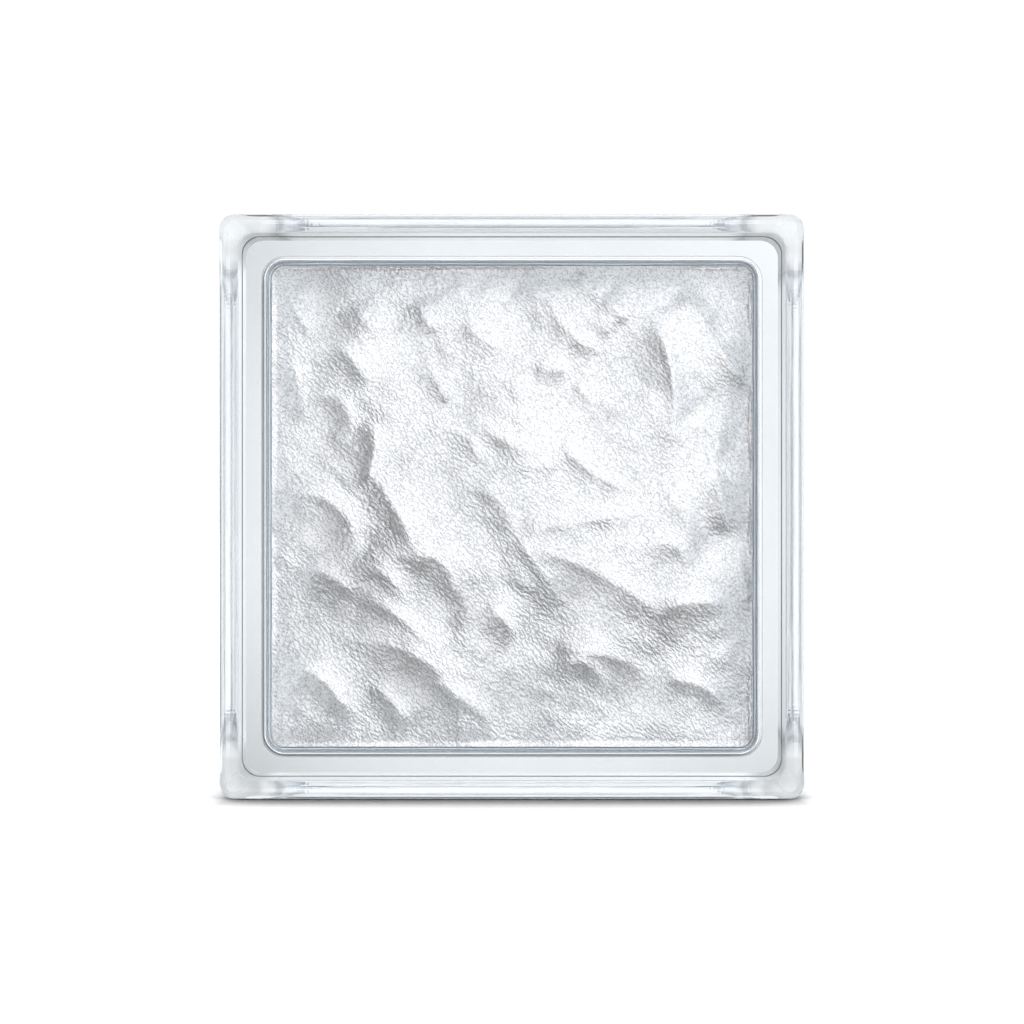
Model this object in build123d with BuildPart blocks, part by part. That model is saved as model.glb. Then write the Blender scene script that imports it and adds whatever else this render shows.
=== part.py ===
"""Hollow glass block: two pressed glass half shells fused at the seam, with a white key coat.

Units are millimetres. X is the width, Y the depth (the front face looks along -Y) and Z is up.
The block stands on its edge, with the middle of its base at the origin.
"""

from math import exp, hypot, tanh
import os

from build123d import *

# Overall size
face_size = 190.0
block_depth = 80.0

# Lips: the wide rim behind each face
lip_depth = 13.0
lip_corner_radius = 5.0
face_edge_radius = 3.0
lip_back_radius = 1.5

# Mortar channel between the lips
channel_depth = 5.0
channel_corner_radius = 6.0
shoulder_run = 7.0
shoulder_root_radius = 2.5

# Bead squeezed out where the halves are fused
bead_height = 1.0
bead_half_width = 2.0
bead_edge_radius = 0.9

# Hollow inside each half
face_glass_thickness = 7.0
seam_wall_thickness = 6.5
pocket_taper = 3.0
pocket_mouth_radius = 8.0
pocket_floor_radius = 6.5
pocket_root_radius = 2.5

# Wavy relief pressed into the floor of the hollow
relief_margin = 2.6
relief_depth = 1.8
relief_sink = 0.3
relief_backing = 8.0
relief_fit = 0.05
relief_steps = 56
nose_margin = 3.2
nose_corner_radius = 4.5
nose_root = 2.0
nose_reach = 3.0

# White key coat in the mortar channel
coat_thickness = 0.4
coat_clearance = 0.1
coat_margin = 1.5
coat_edge_radius = 0.3

# Tolerance for picking the edges that lie at one depth
edge_match = 0.01

half_depth = block_depth / 2
half_face = face_size / 2
channel_half = half_face - channel_depth
bead_half = channel_half + bead_height
lip_start = half_depth - lip_depth
shoulder_start = lip_start - shoulder_run
floor_depth = half_depth - face_glass_thickness
mouth_half = channel_half - seam_wall_thickness
floor_half = mouth_half - pocket_taper
relief_half = floor_half - relief_margin
nose_half = floor_half - nose_margin
coat_half_width = shoulder_start - coat_margin
coat_reach = coat_clearance + coat_thickness

# Broad swells of the relief: place across and up, spread and height, all as shares
swell_shares = (
    (-0.88, 0.86, 0.16, 0.96),
    (-0.45, 0.82, 0.22, 0.96),
    (0.02, 0.80, 0.20, 0.80),
    (0.36, 0.62, 0.22, 1.12),
    (0.86, 0.86, 0.15, 1.60),
    (-0.78, 0.40, 0.20, 0.96),
    (-0.30, 0.42, 0.20, 0.96),
    (0.20, 0.42, 0.16, 0.64),
    (0.84, 0.36, 0.18, 1.28),
    (-0.62, 0.02, 0.20, 0.96),
    (-0.14, -0.10, 0.16, 0.96),
    (0.36, 0.08, 0.18, 0.96),
    (0.84, -0.10, 0.16, 1.28),
    (-0.82, -0.36, 0.18, 0.96),
    (-0.38, -0.42, 0.17, 1.12),
    (0.10, -0.52, 0.20, 0.96),
    (0.66, -0.60, 0.20, 1.28),
    (-0.56, -0.84, 0.17, 1.28),
    (-0.06, -0.88, 0.16, 0.96),
    (0.42, -0.86, 0.17, 1.28),
    (0.86, -0.84, 0.15, 1.28),
)

# Creases of the relief, sharp furrows where two lumps meet, all as shares: start and end
# (across, up), bow of the line between them, width to its right and to its left, depth
crease_shares = (
    ((0.59, 0.80), (0.66, 0.22), 0.05, 0.10, 0.06, 2.1),
    ((-0.94, -0.66), (-0.68, -0.90), 0.05, 0.07, 0.08, 2.0),
    ((-0.60, 0.16), (-0.38, -0.26), 0.02, 0.09, 0.10, 1.7),
    ((-0.40, -0.18), (-0.24, -0.42), 0.06, 0.08, 0.08, 1.2),
    ((-0.22, 0.07), (0.00, -0.12), 0.07, 0.10, 0.09, 1.0),
    ((-0.02, -0.04), (0.24, -0.42), -0.02, 0.07, 0.08, 1.0),
    ((0.00, -0.10), (0.58, -0.01), -0.01, 0.06, 0.10, 1.3),
    ((0.06, -0.16), (0.66, -0.48), 0.03, 0.09, 0.10, 1.4),
    ((0.16, 0.82), (0.38, 0.64), -0.02, 0.06, 0.08, 1.2),
    ((0.02, 0.91), (0.20, 0.80), 0.03, 0.08, 0.07, 1.0),
    ((-0.36, 0.62), (-0.26, 0.42), 0.00, 0.06, 0.07, 1.2),
    ((-0.40, 0.86), (-0.33, 0.72), 0.00, 0.06, 0.07, 1.0),
    ((-0.76, 0.69), (-0.60, 0.50), 0.02, 0.07, 0.07, 1.1),
    ((-0.38, 0.32), (-0.14, 0.14), 0.09, 0.09, 0.08, 0.9),
    ((-0.20, 0.38), (0.14, 0.20), -0.01, 0.07, 0.08, 0.9),
    ((0.20, 0.27), (0.50, 0.07), -0.03, 0.06, 0.07, 1.1),
    ((0.34, 0.31), (0.60, 0.46), 0.00, 0.06, 0.07, 0.7),
    ((-0.88, 0.44), (-0.66, 0.32), 0.08, 0.08, 0.07, 1.1),
    ((-0.58, 0.34), (-0.62, 0.08), 0.02, 0.05, 0.05, 1.3),
    ((-0.94, 0.06), (-0.64, -0.18), 0.08, 0.12, 0.09, 1.3),
    ((-0.88, -0.26), (-0.66, -0.38), 0.03, 0.08, 0.07, 1.3),
    ((-0.66, -0.24), (-0.44, -0.40), 0.04, 0.10, 0.08, 1.2),
    ((-0.62, -0.38), (-0.34, -0.58), 0.02, 0.09, 0.08, 1.4),
    ((-0.70, -0.56), (-0.24, -0.76), 0.06, 0.10, 0.09, 1.3),
    ((-0.36, -0.72), (-0.08, -0.92), 0.02, 0.07, 0.08, 1.3),
    ((-0.26, -0.50), (0.02, -0.50), 0.05, 0.09, 0.08, 0.9),
    ((-0.10, -0.40), (0.02, -0.54), 0.00, 0.07, 0.06, 1.1),
    ((-0.60, -0.74), (-0.43, -0.93), 0.02, 0.07, 0.07, 1.5),
    ((0.80, 0.74), (0.99, 0.50), 0.00, 0.08, 0.07, 1.3),
    ((0.26, 0.98), (0.38, 0.86), 0.00, 0.07, 0.08, 0.9),
    ((0.38, 0.88), (0.48, 0.77), 0.00, 0.07, 0.08, 1.2),
    ((0.68, 0.87), (0.84, 0.72), 0.02, 0.07, 0.07, 1.5),
    ((0.72, 0.34), (0.88, 0.20), 0.06, 0.10, 0.06, 1.1),
    ((0.64, 0.10), (0.76, -0.20), 0.02, 0.09, 0.07, 1.2),
    ((0.84, 0.16), (0.88, -0.12), 0.02, 0.08, 0.05, 1.3),
    ((0.50, -0.20), (0.76, -0.30), 0.10, 0.10, 0.07, 1.0),
    ((0.60, -0.46), (0.92, -0.42), 0.04, 0.08, 0.07, 1.7),
    ((0.20, -0.60), (0.54, -0.68), 0.02, 0.06, 0.07, 1.0),
    ((0.14, -0.70), (0.40, -0.76), 0.08, 0.07, 0.07, 0.9),
    ((0.62, -0.72), (0.92, -0.86), 0.04, 0.07, 0.07, 1.3),
    ((0.94, -0.18), (0.99, -0.44), 0.00, 0.08, 0.05, 1.0),
    ((-0.96, 0.92), (-0.84, 0.72), 0.00, 0.06, 0.06, 1.2),
    ((-0.92, 0.62), (-0.86, 0.34), 0.00, 0.05, 0.05, 0.9),
    ((-0.20, 0.79), (-0.02, 0.66), -0.03, 0.05, 0.06, 0.8),
    ((-0.66, 0.84), (-0.56, 0.70), 0.00, 0.06, 0.07, 0.8),
    ((0.26, 0.52), (0.34, 0.42), 0.00, 0.05, 0.05, 0.9),
    ((0.10, 0.56), (0.24, 0.56), 0.02, 0.05, 0.05, 0.9),
)
base_share = 0.34
border_share = 0.05
rim_share = 0.02
crease_end_share = 0.85
crease_tip_share = 0.03


def swell(across, up, middle_across, middle_up, spread, height):
    """Share of the relief's depth that one broad swell gives at a place."""
    return height * exp(-((across - middle_across) ** 2 + (up - middle_up) ** 2) / spread**2)


def crease(across, up, start, end, bow, near, far, depth):
    """Share of the relief's depth that one crease takes away: a rounded tip with a slope on each side."""
    run = end[0] - start[0]
    rise = end[1] - start[1]
    length = hypot(run, rise)
    along = 2 * ((across - start[0]) * run + (up - start[1]) * rise) / length**2 - 1
    aside = (run * (up - start[1]) - rise * (across - start[0])) / length - bow * (1 - along**2)
    ends = exp(-((along / crease_end_share) ** 4))
    width = (near + far) / 2 + (far - near) / 2 * tanh(aside / crease_tip_share)
    return depth * ends * exp(-hypot(aside, crease_tip_share) / width)


def fade(place):
    """1 over the middle of the relief, easing down to 0 at the flat rim round it."""
    inward = min(1, max(0, 1 - rim_share - abs(place)) / border_share)
    return inward**2 * (3 - 2 * inward)


def relief_height(across, up):
    """Height of the relief over the flat floor at a place given as shares of the relief's half width."""
    total = base_share
    total += sum(swell(across, up, *shares) for shares in swell_shares)
    total -= sum(crease(across, up, *shares) for shares in crease_shares)
    held = fade(across) * fade(up)
    return relief_depth * total * held - relief_sink * (1 - held)


def edges_at(body, depth):
    """The loop of edges that lies at one depth in front of the seam."""
    return body.edges().filter_by_position(Axis.Y, -depth - edge_match, -depth + edge_match)


# Seam plane through the middle of the block, facing the front
seam_plane = Plane(origin=(0, 0, half_face), x_dir=(1, 0, 0), z_dir=(0, -1, 0))

# Relief: a wavy surface laid over a grid of places, given a backing thicker than its highest lump
relief_places = [2 * step / relief_steps - 1 for step in range(relief_steps + 1)]
relief_points = [
    [
        seam_plane.from_local_coords(
            Vector(
                across * relief_half,
                up * relief_half,
                floor_depth - relief_height(across, up),
            )
        )
        for across in relief_places
    ]
    for up in relief_places
]
relief_face = Face.make_surface_from_array_of_points(relief_points, tol=relief_fit, min_deg=3)

with BuildPart() as relief:
    extrude(to_extrude=relief_face, amount=relief_backing, dir=seam_plane.z_dir)

# Plunger: the tapered form that presses the hollow, with a low nose that the relief is cut into
with BuildPart() as plunger:
    with BuildSketch(seam_plane):
        RectangleRounded(2 * mouth_half, 2 * mouth_half, pocket_mouth_radius)
    with BuildSketch(seam_plane.offset(floor_depth)):
        RectangleRounded(2 * floor_half, 2 * floor_half, pocket_floor_radius)
    loft()
    fillet(edges_at(plunger, floor_depth), pocket_root_radius)
    with BuildSketch(seam_plane.offset(floor_depth - nose_root)):
        RectangleRounded(2 * nose_half, 2 * nose_half, nose_corner_radius)
    extrude(amount=nose_root + nose_reach)
    add(relief.part, mode=Mode.SUBTRACT)

# Half of the bead at the seam
with BuildPart() as seam_bead:
    with BuildSketch(seam_plane):
        RectangleRounded(2 * bead_half, 2 * bead_half, channel_corner_radius + bead_height)
    extrude(amount=bead_half_width)
    fillet(edges_at(seam_bead, bead_half_width), bead_edge_radius)

# Front shell: channel wall, sloping shoulder and lip, pressed hollow
with BuildPart() as front_shell:
    with BuildSketch(seam_plane):
        RectangleRounded(2 * channel_half, 2 * channel_half, channel_corner_radius)
    extrude(amount=shoulder_start)
    with BuildSketch(seam_plane.offset(shoulder_start)):
        RectangleRounded(2 * channel_half, 2 * channel_half, channel_corner_radius)
    with BuildSketch(seam_plane.offset(lip_start)):
        RectangleRounded(face_size, face_size, lip_corner_radius)
    loft()
    with BuildSketch(seam_plane.offset(lip_start)):
        RectangleRounded(face_size, face_size, lip_corner_radius)
    extrude(amount=lip_depth)
    fillet(edges_at(front_shell, half_depth), face_edge_radius)
    fillet(edges_at(front_shell, lip_start), lip_back_radius)
    fillet(edges_at(front_shell, shoulder_start), shoulder_root_radius)
    add(seam_bead.part)
    add(plunger.part, mode=Mode.SUBTRACT)

# Rear shell: the same moulding, turned half a turn about the vertical
with BuildPart() as rear_shell:
    with Locations(Location((0, 0, 0), (0, 0, 180))):
        add(front_shell.part)

# Forms for the key coat: the channel floor and the bead, each grown by the coat and by its clearance
with BuildPart() as coat_bead:
    with BuildSketch(seam_plane):
        RectangleRounded(
            2 * (bead_half + coat_reach),
            2 * (bead_half + coat_reach),
            channel_corner_radius + bead_height + coat_reach,
        )
    extrude(amount=bead_half_width + coat_reach, both=True)
    fillet(edges_at(coat_bead, bead_half_width + coat_reach), bead_edge_radius)
    fillet(edges_at(coat_bead, -bead_half_width - coat_reach), bead_edge_radius)

with BuildPart() as edge_coating:
    with BuildSketch(seam_plane):
        RectangleRounded(
            2 * (channel_half + coat_reach),
            2 * (channel_half + coat_reach),
            channel_corner_radius + coat_reach,
        )
    extrude(amount=coat_half_width, both=True)
    fillet(edges_at(edge_coating, coat_half_width), coat_edge_radius)
    fillet(edges_at(edge_coating, -coat_half_width), coat_edge_radius)
    add(coat_bead.part)
    with BuildSketch(seam_plane):
        RectangleRounded(
            2 * (channel_half + coat_clearance),
            2 * (channel_half + coat_clearance),
            channel_corner_radius + coat_clearance,
        )
    extrude(amount=coat_half_width, both=True, mode=Mode.SUBTRACT)
    with BuildSketch(seam_plane):
        RectangleRounded(
            2 * (bead_half + coat_clearance),
            2 * (bead_half + coat_clearance),
            channel_corner_radius + bead_height + coat_clearance,
        )
    extrude(amount=bead_half_width + coat_clearance, both=True, mode=Mode.SUBTRACT)

front_shell.part.label = "front_shell"
rear_shell.part.label = "rear_shell"
edge_coating.part.label = "edge_coating"

os.makedirs("parts", exist_ok=True)
export_step(front_shell.part, "parts/front_shell.step")
export_step(rear_shell.part, "parts/rear_shell.step")
export_step(edge_coating.part, "parts/edge_coating.step")
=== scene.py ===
"""Hollow glass block on a pale studio floor: two pressed glass shells and a white key coat.

All lengths are metres, in the frame of the part: X is the width, Y the depth with the front face
at -Y, and Z is up.
"""

import logging
import math
from collections.abc import Sequence
from dataclasses import dataclass, field
from enum import Enum, IntEnum

import bpy
import numpy as np
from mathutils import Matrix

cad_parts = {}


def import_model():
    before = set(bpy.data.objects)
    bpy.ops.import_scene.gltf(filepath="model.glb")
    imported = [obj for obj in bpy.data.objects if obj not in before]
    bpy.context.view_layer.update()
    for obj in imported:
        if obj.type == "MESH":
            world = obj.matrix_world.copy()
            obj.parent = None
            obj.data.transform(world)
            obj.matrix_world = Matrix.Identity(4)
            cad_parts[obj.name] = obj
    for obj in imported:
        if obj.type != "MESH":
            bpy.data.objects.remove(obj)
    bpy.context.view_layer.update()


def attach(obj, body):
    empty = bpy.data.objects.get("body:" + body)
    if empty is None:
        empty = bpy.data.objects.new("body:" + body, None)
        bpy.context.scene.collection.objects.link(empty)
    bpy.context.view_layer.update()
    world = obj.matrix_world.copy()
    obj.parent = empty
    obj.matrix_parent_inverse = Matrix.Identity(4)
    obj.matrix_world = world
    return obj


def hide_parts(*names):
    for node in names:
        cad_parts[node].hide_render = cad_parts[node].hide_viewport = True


LOG = logging.getLogger("glass_block")
MM = 0.001

Array = np.ndarray
Colour = tuple[float, float, float]
Pair = tuple[float, float]
Tree = bpy.types.NodeTree
Socket = bpy.types.NodeSocket
Shader = bpy.types.ShaderNode
Material = bpy.types.Material


# Sizes


@dataclass(frozen=True)
class BlockSizes:
    """Sizes of the block, the same as in the part's source."""

    half_face: float = 95.0 * MM
    half_depth: float = 40.0 * MM
    lip_depth: float = 13.0 * MM
    lip_corner: float = 5.0 * MM
    face_edge: float = 3.0 * MM
    lip_back: float = 1.5 * MM
    channel_depth: float = 5.0 * MM
    channel_corner: float = 6.0 * MM
    shoulder_run: float = 7.0 * MM
    shoulder_root: float = 2.5 * MM
    bead_height: float = 1.0 * MM
    bead_half_width: float = 2.0 * MM
    bead_edge: float = 0.9 * MM
    face_glass: float = 7.0 * MM
    mouth_half: float = 83.5 * MM
    pocket_taper: float = 3.0 * MM
    mouth_corner: float = 8.0 * MM
    floor_corner: float = 6.5 * MM
    pocket_root: float = 2.5 * MM
    relief_half: float = 77.9 * MM
    relief_reach: float = 78.6 * MM
    relief_depth: float = 1.8 * MM
    coat_thickness: float = 0.4 * MM
    coat_clearance: float = 0.1 * MM
    coat_margin: float = 1.5 * MM
    seam_gap: float = 0.02 * MM

    @property
    def channel_half(self) -> float:
        """Half width of the channel floor."""
        return self.half_face - self.channel_depth

    @property
    def lip_start(self) -> float:
        """Depth from the seam at which the lip starts."""
        return self.half_depth - self.lip_depth

    @property
    def shoulder_start(self) -> float:
        """Depth from the seam at which the shoulder starts."""
        return self.lip_start - self.shoulder_run

    @property
    def floor_depth(self) -> float:
        """Depth from the seam of the flat floor of the hollow."""
        return self.half_depth - self.face_glass

    @property
    def floor_half(self) -> float:
        """Half width of the hollow at its floor, before its fillet."""
        return self.mouth_half - self.pocket_taper


# Mesh helpers


@dataclass
class Surface:
    """Points and faces of one piece, gathered patch by patch as whole arrays."""

    points: list[Array] = field(default_factory=list)
    quads: list[Array] = field(default_factory=list)
    quad_skins: list[Array] = field(default_factory=list)
    caps: list[Array] = field(default_factory=list)
    cap_skins: list[int] = field(default_factory=list)
    count: int = 0

    def add_points(self, xyz: Array) -> Array:
        """Add an array of points.

        Args:
            xyz: points, the last axis holding x, y and z.

        Returns:
            The index of each point, in the shape of the array given.
        """
        flat = xyz.reshape(-1, 3)
        index = np.arange(self.count, self.count + len(flat)).reshape(xyz.shape[:-1])
        self.points.append(flat)
        self.count += len(flat)
        return index

    def add_quads(self, index: Array, skin: int | Array = 0, flip: bool = False) -> None:
        """Join a grid of indices into four-sided faces.

        Args:
            index: two-dimensional grid of point indices.
            skin: material index, one for all or one for each row of faces.
            flip: turn the faces over.
        """
        rows, columns = index.shape[0] - 1, index.shape[1] - 1
        self.quad_skins.append(np.repeat(np.broadcast_to(skin, rows), columns))
        corners = (index[:-1, :-1], index[:-1, 1:], index[1:, 1:], index[1:, :-1])
        faces = np.stack(corners, axis=-1).reshape(-1, 4)
        self.quads.append(faces[:, ::-1] if flip else faces)

    def add_cap(self, loop: Array, skin: int = 0) -> None:
        """Close a flat loop of indices with one face."""
        self.caps.append(loop)
        self.cap_skins.append(skin)

    def build(
        self, name: str, materials: Sequence[Material], attributes: dict[str, Array]
    ) -> bpy.types.Object:
        """Make the object.

        Args:
            name: name of the piece.
            materials: its materials, in the order of the material indices.
            attributes: one number for each point, by attribute name.

        Returns:
            The new object, linked to the scene.
        """
        points = np.concatenate(self.points)
        quads = np.concatenate(self.quads)
        starts = [np.arange(0, 4 * len(quads), 4)]
        corners = [quads.ravel()]
        begin = 4 * len(quads)
        for cap in self.caps:
            starts.append(np.array([begin]))
            corners.append(cap)
            begin += len(cap)
        mesh = bpy.data.meshes.new(name)
        mesh.vertices.add(len(points))
        mesh.vertices.foreach_set("co", points.astype(np.float32).ravel())
        mesh.loops.add(begin)
        mesh.loops.foreach_set("vertex_index", np.concatenate(corners).astype(np.int32))
        starts_all = np.concatenate(starts).astype(np.int32)
        mesh.polygons.add(len(starts_all))
        mesh.polygons.foreach_set("loop_start", starts_all)
        for material in materials:
            mesh.materials.append(material)
        skins = np.concatenate((*self.quad_skins, np.array(self.cap_skins, dtype=int)))
        mesh.polygons.foreach_set("material_index", skins.astype(np.int32))
        mesh.update(calc_edges=True)
        mesh.validate()
        mesh.shade_smooth()
        for label, values in attributes.items():
            layer = mesh.attributes.new(label, "FLOAT", "POINT")
            layer.data.foreach_set("value", values.astype(np.float32))
        piece = bpy.data.objects.new(name, mesh)
        bpy.context.scene.collection.objects.link(piece)
        return piece


@dataclass(frozen=True)
class RoundedSquare:
    """Square grid of shares that fits a square with rounded corners of any size.

    A place along one side is a share of the straight part and a share of the corner. Where both directions
    are in a corner, the little corner square is pressed into a quarter disc: u * sqrt(1 - v * v / 2).
    """

    straight_cells: int
    corner_cells: int

    def cells(self) -> tuple[Array, ...]:
        """Shares of every place.

        Returns:
            Four square arrays, from -1 to 1: straight across, straight up, corner across and corner up.
        """
        turn = np.linspace(0.0, 1.0, self.corner_cells + 1)[1:]
        straight = np.linspace(-1.0, 1.0, self.straight_cells + 1)
        flat = np.ones(self.corner_cells)
        along = np.concatenate((-flat, straight, flat))
        corner = np.concatenate((-turn[::-1], np.zeros(self.straight_cells + 1), turn))
        return (*np.meshgrid(along, along), *np.meshgrid(corner, corner))

    def press(
        self, half: float | Array, radius: float | Array, cells: Sequence[Array]
    ) -> tuple[Array, Array]:
        """Turn shares into places: straight * (half - radius) + corner * radius * sqrt(1 - v * v / 2).

        Args:
            half: half width of the square.
            radius: radius of its corners.
            cells: the four shares of each place.

        Returns:
            Places across and up.
        """
        a1, a2, c1, c2 = cells
        across = (half - radius) * a1 + radius * c1 * np.sqrt(1.0 - c2**2 / 2.0)
        up = (half - radius) * a2 + radius * c2 * np.sqrt(1.0 - c1**2 / 2.0)
        return across, up

    def loop(self, square: Array) -> Array:
        """Values round the border of a square array, anticlockwise and without a repeated end."""
        return np.concatenate((square[0, :-1], square[:-1, -1], square[-1, :0:-1], square[:0:-1, 0]))

    def rings(self, half: Array, radius: Array) -> tuple[Array, Array, Array]:
        """Places along a family of rounded squares.

        Args:
            half: half width of each ring.
            radius: corner radius of each ring.

        Returns:
            Places across and up, one row a ring, and how far each is from the middle of its side.
        """
        cells = [self.loop(values)[None, :] for values in self.cells()]
        across, up = self.press(half[:, None], radius[:, None], cells)
        side = np.where(np.abs(up) >= np.abs(across), across, up)
        return across, up, side


def arc(middle: Pair, radius: float, start: float, end: float, count: int) -> Array:
    """Points of an arc of the section, angles in degrees: middle + radius * (cos, sin)."""
    angle = np.radians(np.linspace(start, end, count))
    return np.stack((middle[0] + radius * np.cos(angle), middle[1] + radius * np.sin(angle)), axis=-1)


def line(start: Pair, end: Pair, count: int) -> Array:
    """Points of a straight stretch of the section: start + share * (end - start)."""
    share = np.linspace(0.0, 1.0, count)[:, None]
    return (1.0 - share) * np.array(start) + share * np.array(end)


# Relief of the inner faces

# Swells in hundredths of the relief's half width: across, up, spread and height
SWELLS = (
    (-88, 86, 16, 96), (-45, 82, 22, 96), (2, 80, 20, 80), (36, 62, 22, 112),
    (86, 86, 15, 160), (-78, 40, 20, 96), (-30, 42, 20, 96), (20, 42, 16, 64),
    (84, 36, 18, 128), (-62, 2, 20, 96), (-14, -10, 16, 96), (36, 8, 18, 96),
    (84, -10, 16, 128), (-82, -36, 18, 96), (-38, -42, 17, 112), (10, -52, 20, 96),
    (66, -60, 20, 128), (-56, -84, 17, 128), (-6, -88, 16, 96), (42, -86, 17, 128),
    (86, -84, 15, 128),
)

# Creases in hundredths: both ends, bow, width on the right and on the left, and depth
CREASES = (
    (59, 80, 66, 22, 5, 10, 6, 210), (-94, -66, -68, -90, 5, 7, 8, 200),
    (-60, 16, -38, -26, 2, 9, 10, 170), (-40, -18, -24, -42, 6, 8, 8, 120),
    (-22, 7, 0, -12, 7, 10, 9, 100), (-2, -4, 24, -42, -2, 7, 8, 100),
    (0, -10, 58, -1, -1, 6, 10, 130), (6, -16, 66, -48, 3, 9, 10, 140),
    (16, 82, 38, 64, -2, 6, 8, 120), (2, 91, 20, 80, 3, 8, 7, 100),
    (-36, 62, -26, 42, 0, 6, 7, 120), (-40, 86, -33, 72, 0, 6, 7, 100),
    (-76, 69, -60, 50, 2, 7, 7, 110), (-38, 32, -14, 14, 9, 9, 8, 90),
    (-20, 38, 14, 20, -1, 7, 8, 90), (20, 27, 50, 7, -3, 6, 7, 110),
    (34, 31, 60, 46, 0, 6, 7, 70), (-88, 44, -66, 32, 8, 8, 7, 110),
    (-58, 34, -62, 8, 2, 5, 5, 130), (-94, 6, -64, -18, 8, 12, 9, 130),
    (-88, -26, -66, -38, 3, 8, 7, 130), (-66, -24, -44, -40, 4, 10, 8, 120),
    (-62, -38, -34, -58, 2, 9, 8, 140), (-70, -56, -24, -76, 6, 10, 9, 130),
    (-36, -72, -8, -92, 2, 7, 8, 130), (-26, -50, 2, -50, 5, 9, 8, 90),
    (-10, -40, 2, -54, 0, 7, 6, 110), (-60, -74, -43, -93, 2, 7, 7, 150),
    (80, 74, 99, 50, 0, 8, 7, 130), (26, 98, 38, 86, 0, 7, 8, 90),
    (38, 88, 48, 77, 0, 7, 8, 120), (68, 87, 84, 72, 2, 7, 7, 150),
    (72, 34, 88, 20, 6, 10, 6, 110), (64, 10, 76, -20, 2, 9, 7, 120),
    (84, 16, 88, -12, 2, 8, 5, 130), (50, -20, 76, -30, 10, 10, 7, 100),
    (60, -46, 92, -42, 4, 8, 7, 170), (20, -60, 54, -68, 2, 6, 7, 100),
    (14, -70, 40, -76, 8, 7, 7, 90), (62, -72, 92, -86, 4, 7, 7, 130),
    (94, -18, 99, -44, 0, 8, 5, 100), (-96, 92, -84, 72, 0, 6, 6, 120),
    (-92, 62, -86, 34, 0, 5, 5, 90), (-20, 79, -2, 66, -3, 5, 6, 80),
    (-66, 84, -56, 70, 0, 6, 7, 80), (26, 52, 34, 42, 0, 5, 5, 90),
    (10, 56, 24, 56, 2, 5, 5, 90),
)


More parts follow.
